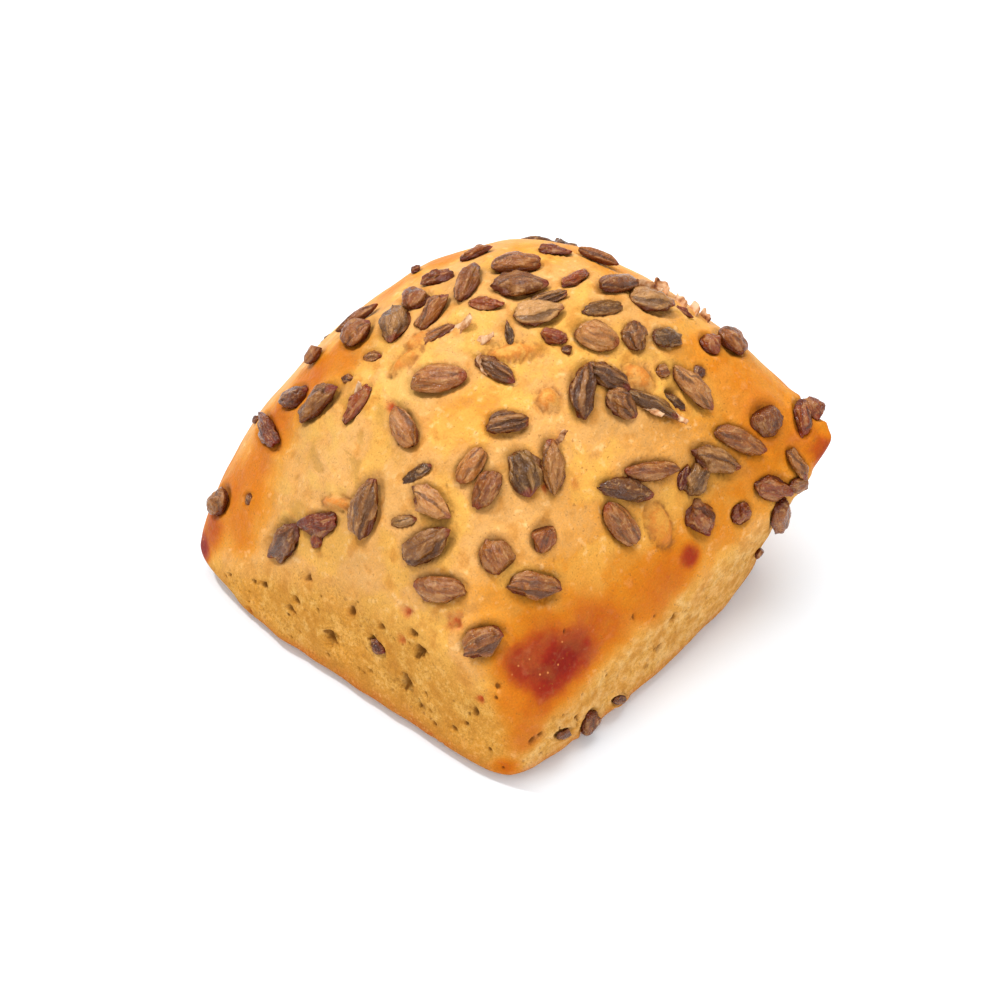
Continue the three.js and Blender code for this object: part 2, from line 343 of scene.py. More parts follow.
def patch(level, u, v):
    s, t = (u + 1) / 2, (v + 1) / 2
    point = sideEdge("nearLeft", level, v) * (1 - s) + sideEdge("farRight", level, v) * s
    point += sideEdge("nearRight", level, u) * (1 - t) + sideEdge("farLeft", level, u) * t
    point -= cornerPoint("near", level) * (1 - s) * (1 - t) + cornerPoint("right", level) * s * (1 - t)
    point -= cornerPoint("left", level) * (1 - s) * t + cornerPoint("far", level) * s * t
    return point


def swell(x, lowSide, highSide):
    side = roll["sides"][lowSide if x < 0 else highSide]
    return max(0, 1 - abs(x) ** side["shoulder"]) ** side["fall"]


crownRise = roll["height"] - patch("ear", 0, 0).z


def topPoint(u, v):
    point = patch("ear", u, v)
    point.z += crownRise * swell(u, "nearLeft", "farRight") * swell(v, "nearRight", "farLeft")
    for height, alongX, alongY, phase in roll["puckers"]:
        wave = 2 * math.pi * (point.x / alongX + point.y / alongY) / mm + phase
        point.z += height * mm * math.sin(wave)
    return point


def footPoint(u, v):
    def past(x, start):
        return max(0, (x - start) / (1 - start)) ** 2
    point = patch("foot", u, v)
    point.z = roll["footRise"] * past(max(abs(u), abs(v)), roll["footBend"])
    point.z += roll["liftedCorner"] * past((u + 1) / 2 * (1 - v) / 2, roll["liftedFrom"])
    return point


# How much the walls flare out towards an ear.
def flareAt(u, v):
    s, t = (u + 1) / 2, (v + 1) / 2
    shares = {"near": (1 - s) * (1 - t), "left": (1 - s) * t, "far": s * t, "right": s * (1 - t)}
    return sum(roll["corners"][name]["flare"] * share ** roll["flareSharpness"]
               for name, share in shares.items())


def bodyPoint(u, v, w):
    up = (w + 1) / 2
    foot, top = footPoint(u, v), topPoint(u, v)
    point = foot.lerp(top, up ** (1 + flareAt(u, v)))
    point.z = mix(foot.z, top.z, up)
    drawnIn = mix(roll["footRounding"], roll["earRounding"], up) * abs(u * v) ** roll["cornerSharpness"]
    outward, upward = roll["edgeSharpness"]
    drawnIn += roll["edgeRounding"] * max(abs(u), abs(v)) ** outward * up ** upward
    point.x *= 1 - drawnIn
    point.y *= 1 - drawnIn
    return point - roll["boxMiddle"]


# Cuts a cube evenly across each of its axes.
def cutEvenly(block, steps):
    mesh = block.data
    bpy.context.tool_settings.mesh_select_mode = (False, True, False)
    for axis, count in enumerate(steps):
        for part in (mesh.vertices, mesh.edges, mesh.polygons):
            part.foreach_set("select", [False] * len(part))
        for edge in mesh.edges:
            first, last = (mesh.vertices[i].co for i in edge.vertices)
            edge.select = abs(first[axis] - last[axis]) > 1e-4
        bpy.ops.object.mode_set(mode="EDIT")
        bpy.ops.mesh.subdivide(number_cuts=count - 1)
        bpy.ops.object.mode_set(mode="OBJECT")


def makeBody():
    deselectAll()
    bpy.ops.mesh.primitive_cube_add(size=2)
    body = bpy.context.object
    body.name = "rollBody"
    cutEvenly(body, roll["steps"])
    places = {name: [] for name in ("cutSide", "rise", "alongX", "alongY", "underside")}
    crowding = roll["crowding"] * math.pi / 2
    for vertex in body.data.vertices:
        u, v, w = vertex.co
        onSide = max(abs(u), abs(v)) > roll["onEdge"]
        onTop, onFoot = w > roll["onEdge"], w <= -roll["onEdge"]
        places["cutSide"].append(0 if not onSide else roll["crustedEdge"] if onTop else 1)
        places["rise"].append((w + 1) / 2)
        places["alongX"].append(u)
        places["alongY"].append(v)
        places["underside"].append(0 if not onFoot else roll["bottomEdge"] if onSide else 1)
        u, v = (math.sin(x * crowding) / math.sin(crowding) for x in (u, v))
        vertex.co = bodyPoint(u, v, w)
    for name, values in places.items():
        setValues(body, name, values)
    applyModifier(body, "SUBSURF", levels=roll["smoothing"], render_levels=roll["smoothing"])
    bpy.ops.object.shade_smooth()
    return body


# Unevenness of the dough, and a ragged foot where it met the tin.
def roughen(body):
    rise, underside = getValues(body, "rise"), getValues(body, "underside")
    ragged = roll["raggedFoot"]
    outwards = [vertex.normal.copy() for vertex in body.data.vertices]
    for i, vertex in enumerate(body.data.vertices):
        lift = sum(height * waves(vertex.co, size, k) for k, (height, size) in enumerate(roll["lumps"]))
        lift += ragged["height"] * waves(vertex.co, ragged["size"], 7) * (1 - rise[i]) ** ragged["fall"]
        vertex.co += outwards[i] * lift * mm * (1 - underside[i])
        vertex.co.z = max(vertex.co.z, 0)


# Kernels: where they lie, and the dents that they press into the crust

# width is a share of the length, for kernels that the photograph doesn't show; thickness is a share of the
# width; raised is how far the middle stands over the crust, as a share of the thickness; blunt, full and tip
# shape the outline; facets are flat places worn or broken on it, flat how deep they cut; grooves run along,
# deep as a share of its girth; wrinkle, lumps and bend make it uneven; grey is how dull it is; hidden is how
# many are tried where the photograph doesn't show
kernelStyles = {
    "plump": dict(width=0.46, thickness=0.82, raised=0.18, blunt=3.4, full=3.4, tip=0.62, facets=3, flat=0.88,
                  grooves=3, deep=0.13, wrinkle=0.14, lumps=0.07, bend=0.03, grey=(0.15, 0.5), hidden=9),
    "ridged": dict(width=0.5, thickness=0.86, raised=0.18, blunt=3.4, full=2.4, tip=0.74, facets=4, flat=0.78,
                   grooves=4, deep=0.24, wrinkle=0.2, lumps=0.09, bend=0.05, grey=(0.25, 0.7), hidden=10),
    "wrinkled": dict(width=0.55, thickness=0.72, raised=0.12, blunt=2.6, full=2.4, tip=0.62, facets=3,
                     flat=0.8, grooves=6, deep=0.26, wrinkle=0.32, lumps=0.11, bend=0.08, grey=(0.5, 0.9),
                     hidden=8),
    "red": dict(width=0.5, thickness=0.8, raised=0.05, blunt=2.6, full=2.2, tip=0.7, facets=5, flat=0.76,
                grooves=3, deep=0.22, wrinkle=0.3, lumps=0.12, bend=0.05, grey=(0, 0.12), hidden=5),
    "broken": dict(width=0.85, thickness=0.62, raised=0.12, blunt=2.4, full=2.6, tip=0.5, facets=2, flat=0.86,
                   grooves=2, deep=0.16, wrinkle=0.2, lumps=0.08, bend=0.0, grey=(0.1, 0.4), hidden=8),
    "sunk": dict(width=0.45, thickness=0.7, raised=-0.12, blunt=3, full=2.4, tip=0.7, facets=4, flat=0.74,
                 grooves=3, deep=0.22, wrinkle=0.3, lumps=0.1, bend=0.0, grey=(0.4, 0.8), hidden=4),
}
kernelRow = {
    "lengths": (2.0, 10.6),     # mm, the least and the greatest
    "widths": (1.4, 6.2),
    "thicknesses": (1.3, 3.6),
    "thinness": (0.9, 1.1),     # by which a thickness varies
    "tilt": 6,                  # degrees
    "grazing": -0.3,            # a ray that meets the crust more slantingly ends at the kernel's distance
    "facing": (0.15, 0.55),     # seen edge-on up to the first of these, and flat from the second on
    "edgeOnLift": 0.34,         # one seen edge-on stands higher by this share of its thickness
    "edgeOnWidth": 1.25,        # and is this many times as wide as it is thick
    "seed": 20,
}


# The span on the crust that a length in the photograph covers, for a heading in degrees.
def alongCrust(x, y, length, heading, point, outward):
    angle = math.radians(heading)
    ends = []
    for sign in (-0.5, 0.5):
        step = sign * length
        start, direction = rayThrough(x + step * math.cos(angle), y - step * math.sin(angle))
        slope = direction.dot(outward)
        steep = slope < kernelRow["grazing"]
        reach = (point - start).dot(outward) / slope if steep else (point - start).length
        ends.append(start + direction * reach)
    span = ends[1] - ends[0]
    return span - outward * span.dot(outward)


# The span of a length, and the width of what lies across it.
def spanAndWidth(x, y, length, width, heading, point, outward):
    along = alongCrust(x, y, length, heading, point, outward)
    across = alongCrust(x, y, width, heading + 90, point, outward)
    return along, along.cross(across).length / along.length


def within(size, key):
    low, high = kernelRow[key]
    return min(max(size, low * mm), high * mm)


def seatOf(style, point, outward, along, length, width, tone, draw, edgeOn=0):
    tilt = math.radians(kernelRow["tilt"])
    outward = (outward + Vector([draw.uniform(-tilt, tilt) for i in range(3)])).normalized()
    along = (along - outward * along.dot(outward)).normalized()
    length, width = within(length, "lengths"), within(width, "widths")
    thickness = width * kernelStyles[style]["thickness"] * draw.uniform(*kernelRow["thinness"])
    thickness = within(thickness, "thicknesses")
    lift = thickness * (kernelStyles[style]["raised"] + kernelRow["edgeOnLift"] * edgeOn)
    return dict(style=style, point=point, outward=outward, along=along, across=outward.cross(along),
                length=length, width=width, thickness=thickness, lift=lift, tone=tone, pressing=1 - edgeOn)


# A kernel that the camera sees edge-on stands higher, so it is moved to stay where the photograph has it.
def seatShown(tree, draw):
    seats = []
    ahead, right, up = viewDirections()
    pixels = pixelsPerMetre()
    for style, rows in shownKernels.items():
        for x, y, length, width, heading, tone in rows:
            point, outward = castOn(tree, x, y)
            along, breadth = spanAndWidth(x, y, length, width, heading, point, outward)
            edgeOn = 1 - smoothStep(*kernelRow["facing"], -ahead.dot(outward))
            girth = width / pixels
            shift = outward * girth * kernelRow["edgeOnLift"] * edgeOn * pixels
            point, outward = castOn(tree, x - shift.dot(right), y + shift.dot(up))
            breadth = mix(breadth, girth * kernelRow["edgeOnWidth"], edgeOn)
            seats.append(seatOf(style, point, outward, along, along.length, breadth, tone, draw, edgeOn))
    return seats


hiddenRow = {
    "lengths": (7, 10),          # mm
    "broken": 0.6,               # a broken one's length, as a share of a whole one's
    "widths": (0.9, 1.15),       # by which a width varies
    "tones": (0.2, 0.8),
    "gap": 6.0,                  # mm between the middles of kernels
    "proud": 1.8,                # mm over the crust up to which one stays out of the photograph's view
    "walls": ("farLeft", "farRight"),
    "onWalls": 11,               # this many lie on those walls, the others on the top
    "wallHeights": (-0.5, 0.9),  # from -1 at the foot to 1 at the edge
    "reach": 0.93,               # how near they come to the edges
    "attempts": 1500,
}


# Kernels that the photograph doesn't show, drawn until they lie far enough apart.
def seatHidden(tree, seats, draw):
    eye = rayThrough(0, 0)[0]
    reach = hiddenRow["reach"]
    styles = [style for style, shape in kernelStyles.items() for i in range(shape["hidden"])]
    draw.shuffle(styles)
    for number, style in enumerate(styles):
        wall = hiddenRow["walls"][number % 2] if number < hiddenRow["onWalls"] else None
        for attempt in range(hiddenRow["attempts"]):
            u, v, w = draw.uniform(-reach, reach), draw.uniform(-reach, reach), 1
            if wall:
                out = roll["sides"][wall]["out"]
                w = draw.uniform(*hiddenRow["wallHeights"])
                u, v = (way or along for way, along in zip(out, (u, v)))
            point, outward = tree.find_nearest(bodyPoint(u, v, w))[:2]
            top = point + outward * hiddenRow["proud"] * mm
            seen = tree.ray_cast(eye, (top - eye).normalized())[0]
            apart = all((seat["point"] - point).length > hiddenRow["gap"] * mm for seat in seats)
            if apart and seen and (seen - eye).length < (top - eye).length:
                break
        else:
            continue
        along = outward.orthogonal()
        along.rotate(Matrix.Rotation(draw.uniform(0, 2 * math.pi), 3, outward))
        share = hiddenRow["broken"] if style == "broken" else 1
        length = draw.uniform(*hiddenRow["lengths"]) * mm * share
        width = length * kernelStyles[style]["width"] * draw.uniform(*hiddenRow["widths"])
        tone = draw.uniform(*hiddenRow["tones"])
        seats.append(seatOf(style, point, outward, along, length, width, tone, draw))


crustPress = {
    "under": 0.7,        # mm by which the crust sinks under a kernel
    "moat": 0.3,         # mm, the gap where the crust has shrunk from it
    "swell": 0.35,       # mm, the crust pushed up round it
    "covered": 1.1,      # mm, how far a covered kernel lifts the skin
    "crease": 0.5,       # mm, how deep the skin dips round that one
    "holeDepth": 0.7,    # of a gas hole, as a share of its width
    "speckDepth": 0.4,   # of a speck, the same
    # where each fades in or out, as shares of the way from the middle to the outline
    "fades": {"under": (0.75, 1), "moat": (1.0, 1.2), "swellStart": (1.1, 1.3), "swellEnd": (1.35, 2),
              "oilAndShadeRing": (1.0, 1.6), "contactShade": (0.95, 1.14), "covered": (0.3, 1.15), "creaseStart": (0.9, 1.1),
              "creaseEnd": (1.1, 1.35), "coverTint": (0.85, 1.05), "edgeStart": (0.7, 1.0),
              "edgeEnd": (1.05, 1.3), "pit": (0.25, 1.2), "pitTint": (0.2, 1.3)},
    # where on its waves a shade shows, and their size in mm and seed
    "patches": {"oilAndShadeRing": (-0.15, 0.5, 6, 9), "contactShade": (-0.6, 0.35, 2.5, 8)},
    # how uneven an outline is, and the size in mm and seed of its waves
    "outlines": {"kernel": (0.07, 1.6, 5), "covered": (0.15, 3, 6), "pit": (0.7, 1.2, 11)},
    # how many more holes there are on each side, and their least and greatest width in mm
    "moreHoles": {"nearLeft": (34, 0.5, 1.3), "nearRight": (34, 0.5, 1.4), "farLeft": (48, 0.6, 2.6),
                  "farRight": (48, 0.6, 2.6)},
    "holesAlong": (-0.85, 0.85),  # from -1 at one end of the side to 1 at the other
    "holesUp": (-0.85, 0.6),      # from -1 at the foot to 1 at the edge
    "pitReach": 0.9,              # widths
}


# Pits and specks to press into the body: what it is, where and how wide.
def findPits(tree, draw):
    pixels = pixelsPerMetre()
    pits = [("hole", castOn(tree, x, y)[0], width / pixels) for x, y, width in shownHoles]
    for kind, rows in shownSpecks.items():
        pits += [(kind, castOn(tree, x, y)[0], width / pixels) for x, y, width in rows]
    for side, (count, low, high) in crustPress["moreHoles"].items():
        for number in range(count):
            along, height = draw.uniform(*crustPress["holesAlong"]), draw.uniform(*crustPress["holesUp"])
            out = roll["sides"][side]["out"]
            place = bodyPoint(*(way or along for way in out), height)
            pits.append(("hole", tree.find_nearest(place)[0], mix(low, high, draw.random() ** 2) * mm))
    return pits


def fadeIn(name, d):
    return smoothStep(*crustPress["fades"][name], d)


def fadeOut(name, d):
    return 1 - fadeIn(name, d)


def patchy(name, place):
    low, high, size, seed = crustPress["patches"][name]
    return smoothStep(low, high, waves(place, size, seed))


def outlineWave(name, place):
    height, size, seed = crustPress["outlines"][name]
    return height * waves(place, size, seed)


def pressCrust(body, seats, tree, draw):
    vertices = body.data.vertices
    outwards = [vertex.normal.copy() for vertex in vertices]
    finder = KDTree(len(vertices))
    for i, vertex in enumerate(vertices):
        finder.insert(vertex.co, i)
    finder.balance()
    names = ("sunk", "raised", "oilAndShadeRing", "contactShade", "covered", "coverCreaseShade", "hole", "black", "red")
    marks = {name: [0.0] * len(vertices) for name in names}

    def press(name, i, value):
        marks[name][i] = max(marks[name][i], value)
    for seat in seats:
        pressing = seat["pressing"]
        for place, i, away in finder.find_range(seat["point"], seat["length"]):
            offset = place - seat["point"]
            if abs(offset.dot(seat["outward"])) > seat["width"]:
                continue
            endwise, sideways = offset.dot(seat["along"]), offset.dot(seat["across"])
            d = math.hypot(endwise / seat["length"], sideways / seat["width"]) * 2
            d += outlineWave("kernel", place)
            press("sunk", i, pressing * crustPress["under"] * fadeOut("under", d))
            press("sunk", i, pressing * crustPress["moat"] * fadeOut("moat", d))
            swollen = fadeIn("swellStart", d) * fadeOut("swellEnd", d)
            press("raised", i, pressing * crustPress["swell"] * swollen)
            # an olive-brown ring round the kernel: partly oil soaked into the crust, partly painted shade
            press("oilAndShadeRing", i, fadeOut("oilAndShadeRing", d) * patchy("oilAndShadeRing", place))
            # a narrow dark ring where the kernel meets the crust: painted shade
            press("contactShade", i, fadeOut("contactShade", d) * patchy("contactShade", place))
    for x, y, length, width, heading in coveredKernels:
        point, outward = castOn(tree, x, y)
        along, girth = spanAndWidth(x, y, length, width, heading, point, outward)
        reach = along.length
        along = along.normalized()
        across = outward.cross(along)
        for place, i, away in finder.find_range(point, reach):
            offset = place - point
            d = math.hypot(offset.dot(along) / reach, offset.dot(across) / girth) * 2
            d += outlineWave("covered", place)
            press("raised", i, crustPress["covered"] * fadeOut("covered", d))
            press("sunk", i, crustPress["crease"] * fadeIn("creaseStart", d) * fadeOut("creaseEnd", d))
            press("covered", i, fadeOut("coverTint", d))
            # a dark edge in the crease round a covered kernel: painted shade
            press("coverCreaseShade", i, fadeIn("edgeStart", d) * fadeOut("edgeEnd", d))
    for kind, point, width in findPits(tree, draw):
        depth = crustPress["holeDepth" if kind == "hole" else "speckDepth"] * width / mm
        for place, i, away in finder.find_range(point, width * crustPress["pitReach"]):
            d = away / width * 2 * (1 + outlineWave("pit", place))
            press("sunk", i, depth * fadeOut("pit", d))
            # how strongly each is coloured: painted shade inside a gas hole, the own colour of a black or red
            # speck
            press(kind, i, fadeOut("pitTint", d))
    for i, vertex in enumerate(vertices):
        vertex.co += outwards[i] * (marks["raised"][i] - marks["sunk"][i]) * mm
        vertex.co.z = max(vertex.co.z, 0)
    for name in names[2:]:
        setValues(body, name, marks[name])


# How the crust browns: along the top's edges, and in the patches that the photograph shows.
baking = {
    "rims": {"nearLeft": 0.02, "farLeft": 0.34, "farRight": 0.34, "nearRight": 0.16},
    "from": 0.72,                     # where the rims start, as a share of half the roll
    "pale": 0.1,                      # how far the rest is baked
    "union": 5,                       # the higher, the less do patches that overlap add up
    "clouds": ((0.5, 7, 3), (0.3, 2.5, 4)),  # how strong, their size in mm and their seed
    "patch": (0.2, 1.4),              # from where to where each fades out, as shares of its reach
    "patchClouds": 0.3,
    "farthest": 1.8,                  # no patch is felt past this
    "stretched": (0.4, 1.2),
    "smudge": (0.2, 1.2),
}


# How far each part of the crust is baked, where its skin is stretched and where it is oily.
def bakeCrust(body, tree):
    pixels, pale, union = pixelsPerMetre(), baking["pale"], baking["union"]
    alongX, alongY, cutSide = (getValues(body, name) for name in ("alongX", "alongY", "cutSide"))
    spots = [(castOn(tree, x, y)[0], reach / pixels, depth)
             for rows in bakedPatches.values() for x, y, reach, depth in rows]
    streaks = [(castOn(tree, x, y)[0], reach / pixels) for x, y, reach in stretchedSkin]
    smudges = [(castOn(tree, x, y)[0], reach / pixels, depth) for x, y, reach, depth in oilySmudges]
    marks = {"baked": [], "stretched": [], "oily": []}
    for i, vertex in enumerate(body.data.vertices):
        place, x, y = vertex.co, alongX[i], alongY[i]
        uneven = sum(waves(place, size, seed) * height for height, size, seed in baking["clouds"])
        nearness = {"farRight": x, "nearLeft": -x, "farLeft": y, "nearRight": -y}
        rim = max(most * smoothStep(baking["from"], 1, nearness[side])
                  for side, most in baking["rims"].items())
        united = (pale + rim * (1 - cutSide[i]) * (1 + uneven)) ** union
        for point, reach, depth in spots:
            d = (place - point).length / reach
            if d < baking["farthest"]:
                d += uneven * baking["patchClouds"]
                united += mix(pale, depth, 1 - smoothStep(*baking["patch"], d)) ** union
        marks["baked"].append(min(1, united ** (1 / union)))
        distances = [(place - point).length / reach for point, reach in streaks]
        marks["stretched"].append(max(1 - smoothStep(*baking["stretched"], d) for d in distances))
        stains = [((place - point).length / reach + uneven, depth) for point, reach, depth in smudges]
        marks["oily"].append(max(depth * (1 - smoothStep(*baking["smudge"], d)) for d, depth in stains))
    for name, values in marks.items():
        setValues(body, name, values)


kernelForm = {
    "segments": 36,               # faces round a kernel and along it
    "rings": 20,
    "variants": 6,                # shapes modelled for each style
    "outlines": (0.85, 1.2),      # by which blunt, full and tip vary
    "grooveStarts": (-0.3, 1.3),  # the place of a groove between its neighbours
    "grooveWidths": (0.18, 0.42),  # radians
    "grooveDepths": (0.5, 1.2),
    "facings": ((-0.9, 0.9), (-1, 1), (0.1, 1)),
    "facetDepths": (0.88, 1.12),
    "cut": 0.9,                   # how flat the facets are
    "breaks": (0.26, 0.4),        # where a broken one ends
    "breakSlants": (-0.5, 0.5),
    "grainOffsets": (0, 100),
    "tones": (-0.06, 0.06),       # by which a tone varies
}


# A kernel of unit length, width and thickness along X, its pointed end at +X. Its outline is blunt at one end
# and runs out to a tip at the other, flat facets cut it and noise wrinkles it along its grain.
def modelKernel(style, draw):
    shape = kernelStyles[style]
    deselectAll()
    bpy.ops.mesh.primitive_uv_sphere_add(segments=kernelForm["segments"], ring_count=kernelForm["rings"],
                                         radius=0.5, rotation=(0, math.pi / 2, 0))
    kernel = bpy.context.object
    bpy.ops.object.transform_apply(location=False, rotation=True, scale=False)

    def drawn(key):
        return draw.uniform(*kernelForm[key])
    blunt, full, tip = (shape[key] * drawn("outlines") for key in ("blunt", "full", "tip"))
    seed = Vector([draw.uniform(0, 50) for i in range(3)])
    grooves, facets = [], []
    for i in range(shape["grooves"]):
        at = drawn("grooveStarts") * math.pi / shape["grooves"] + i * math.pi / shape["grooves"]
        grooves.append((at, drawn("grooveWidths"), shape["deep"] * drawn("grooveDepths")))
    for i in range(shape["facets"]):
        facing = Vector([draw.uniform(*limits) for limits in kernelForm["facings"]]).normalized()
        facets.append((facing, 0.5 * shape["flat"] * drawn("facetDepths")))

    def outline(s):
        return (1 - (1 - s) ** blunt) ** 0.5 * (1 - s ** full) ** tip
    widest = max(outline(i / 50) for i in range(51))
    marks = {"endwise": [], "lowness": [], "crease": []}
    for vertex in kernel.data.vertices:
        x, y, z = vertex.co
        s = min(1, max(0, x + 0.5))
        ring = math.hypot(y, z)
        cosine, sine = (y / ring, z / ring) if ring > 1e-4 else (0, 0)
        girth = 0.5 * outline(s) / widest
        place = Vector((x, girth * cosine, girth ** 0.8 * 0.5 ** 0.2 * sine))
        cut = min([1] + [reach / place.dot(facing) for facing, reach in facets if place.dot(facing) > reach])
        place *= mix(1, cut, kernelForm["cut"])
        grain = Vector((s * 2.6, cosine * 1.6, sine * 1.6)) + seed
        angle = math.atan2(sine, cosine) + 0.7 * noise.noise(Vector((s * 3, 0, 0)) + seed)
        valley = sum(deep * math.exp(-((angle - at) / wide) ** 2) for at, wide, deep in grooves)
        # high on the ridges and low in the grooves; the finish paints highlights on the one and shade in the
        # other
        crease = 0.35 - valley / max(0.01, shape["deep"]) + 0.8 * noise.noise(grain * 1.3)
        wrinkle = noise.noise(grain * 0.7) + 0.5 * noise.noise(grain * 2.7)
        uneven = 1 - valley * (0.6 + 0.8 * noise.noise(grain)) + shape["wrinkle"] * wrinkle
        lump = noise.noise_vector(place * 3 + seed) + 0.5 * noise.noise_vector(place * 7 + seed)
        place += shape["lumps"] * lump
        place.y *= uneven
        place.z = place.z * uneven + shape["bend"] * (1 - 4 * x * x)
        place.y += shape["bend"] * (1 - 4 * x * x)
        vertex.co = place
        marks["endwise"].append(s)
        # how low on the kernel a point lies; the finish darkens the low part, partly with painted shade under
        # it
        marks["lowness"].append(min(1, max(0, 0.5 - place.z)))
        marks["crease"].append(min(1, max(0, 0.5 + crease * 0.4)))
    for name, values in marks.items():
        setValues(kernel, name, values)
    if style == "broken":
        bpy.ops.object.mode_set(mode="EDIT")
        bpy.ops.mesh.select_all(action="SELECT")
        bpy.ops.mesh.bisect(plane_co=(drawn("breaks"), 0, 0), plane_no=(1, drawn("breakSlants"), 0.2),
                            use_fill=True, clear_outer=True)
        bpy.ops.object.mode_set(mode="OBJECT")
    bpy.ops.object.shade_smooth()
    return kernel


# A copy of a kernel at its seat. ownPlace is a place in its own grain, in mm.
def placeKernel(variant, seat, greys, draw):
    copy = variant.copy()
    copy.data = copy.data.copy()
    bpy.context.collection.objects.link(copy)
    turn = Matrix((seat["along"], seat["across"], seat["outward"])).transposed().to_4x4()
    size = Matrix.Diagonal((seat["length"], seat["width"], seat["thickness"], 1))
    middle = seat["point"] + seat["outward"] * seat["lift"]
    apart = Vector([draw.uniform(*kernelForm["grainOffsets"]) for i in range(3)])
    grain = [part / mm + off for vertex in copy.data.vertices for part, off in zip(size @ vertex.co, apart)]
    copy.data.attributes.new("ownPlace", "FLOAT_VECTOR", "POINT").data.foreach_set("vector", grain)
    copy.data.transform(Matrix.Translation(middle) @ turn @ size)
    points = len(copy.data.vertices)
    setValues(copy, "tone", [seat["tone"] + draw.uniform(*kernelForm["tones"])] * points)
    setValues(copy, "grey", [draw.uniform(*greys)] * points)
    return copy


def makeKernels(seats, draw):
    pieces = []
    for style, shape in kernelStyles.items():
        variants = [modelKernel(style, draw) for k in range(kernelForm["variants"])]
        ofStyle = [seat for seat in seats if seat["style"] == style]
        copies = [placeKernel(variants[count % len(variants)], seat, shape["grey"], draw)
                  for count, seat in enumerate(ofStyle)]
        for variant in variants:
            bpy.data.objects.remove(variant)
        pieces.append(joinAs(style + "Kernels", copies))
    return pieces


# Loose flakes of husk: x and y in pixels, length and width in mm, the heading in degrees, how many degrees it
# curls, how high it stands up and how many degrees it is turned over on its long edge
huskFlakes = {
    "rows": [(636, 289, 5.0, 3.8, 20, 110, 0.5, 80), (654, 287, 3.8, 3.2, 60, 190, 0.5, 80),
             (674, 299, 3.4, 2.8, -20, 80, 0.5, 80), (691, 305, 3.6, 3.0, -35, 110, 0.5, 80),
             (699, 314, 2.8, 2.8, -30, 70, 0.4, 80), (641, 399, 5.0, 1.8, -50, 50, 0.2, 0),
             (668, 410, 4.2, 1.5, -45, 60, 0.2, 0), (490, 372, 3.8, 2.2, 150, 80, 0.3, 20),
             (354, 400, 4.2, 1.8, 55, 70, 0.3, 20), (450, 333, 5.0, 2.4, 25, 40, 0.15, 0),
             (474, 342, 4.0, 2.0, 10, 40, 0.15, 0), (556, 450, 4.0, 1.6, 80, 60, 0.2, 20)],
    "steps": (10, 3),
    "thickness": 0.22 * mm,
    "rooted": 0.2 * mm,    # how deep the lower end sits in the crust
    "crinkle": 0.3 * mm,
    "standing": 0.3,       # the height of one that stands up fully, as a share of its length
    "narrowing": 0.5,      # by how much it narrows along its length
    "ragged": 0.4,         # how uneven its long edges are
}


def makeFlakes(tree, draw):
    flakes = []
    lengthwise, crosswise = huskFlakes["steps"]
    for x, y, length, width, heading, curl, rise, turned in huskFlakes["rows"]:
        point, outward = castOn(tree, x, y)
        along = alongCrust(x, y, 10, heading, point, outward).normalized()
        outward = Matrix.Rotation(math.radians(turned), 3, along) @ outward
        across = outward.cross(along)
        deselectAll()
        bpy.ops.mesh.primitive_grid_add(size=1, x_subdivisions=lengthwise, y_subdivisions=crosswise)
        flake = bpy.context.object
        bow = math.radians(curl)
        radius = length * mm / bow
        phase = draw.uniform(0, 9)
        for vertex in flake.data.vertices:
            s, t = vertex.co.x + 0.5, vertex.co.y
            breadth = 1 - huskFlakes["narrowing"] * s
            breadth += huskFlakes["ragged"] * noise.noise(Vector((s * 4, t * 2, phase)))
            height = radius * (1 - math.cos(bow * s)) + rise * length * mm * huskFlakes["standing"] * s
            height -= huskFlakes["rooted"]
            height += huskFlakes["crinkle"] * noise.noise(Vector((s * 5, t * 3, phase + 4)))
            vertex.co = point + along * radius * math.sin(bow * s) + across * t * width * mm * breadth
            vertex.co += outward * height
        applyModifier(flake, "SOLIDIFY", thickness=huskFlakes["thickness"], offset=0)
        bpy.ops.object.shade_smooth()
        flakes.append(flake)
    return joinAs("huskFlakes", flakes)


# Materials

def newMaterial(name):
    material = bpy.data.materials.new(name)
    material.use_nodes = True
    material.node_tree.nodes.clear()
    return material, material.node_tree


# Adds a node with its settings and the values or links of its sockets, and returns one of its outputs.
def addNode(tree, kind, sockets=None, output=0, stops=None, **settings):
    added = tree.nodes.new("ShaderNode" + kind)
    for name, value in settings.items():
        setattr(added, name, value)
    for socket, value in (sockets or {}).items():
        if isinstance(value, bpy.types.NodeSocket):
            tree.links.new(value, added.inputs[socket])
        else:
            added.inputs[socket].default_value = value
    if stops:
        elements = added.color_ramp.elements
        elements.remove(elements[1])
        elements[0].position, elements[0].color = stops[0][0], hexColour(stops[0][1])
        for position, colour in stops[1:]:
            elements.new(position).color = hexColour(colour)
    return added.outputs[output] if added.outputs else added


def perMetre(size):
    return 1 / (size * mm)  # a texture's scale for features of this many mm


# Lays tints over a colour: what limits each, its pattern, its strength and its colour.
def layOver(tree, colour, layers):
    for limit, pattern, strength, tint in layers:
        share = addNode(tree, "Math", {0: limit, 1: pattern}, operation="MULTIPLY")
        share = addNode(tree, "Math", {0: share, 1: strength}, operation="MULTIPLY")
        colour = addNode(tree, "Mix", {0: share, 6: colour, 7: hexColour(tint)}, output=2, data_type="RGBA")
    return colour


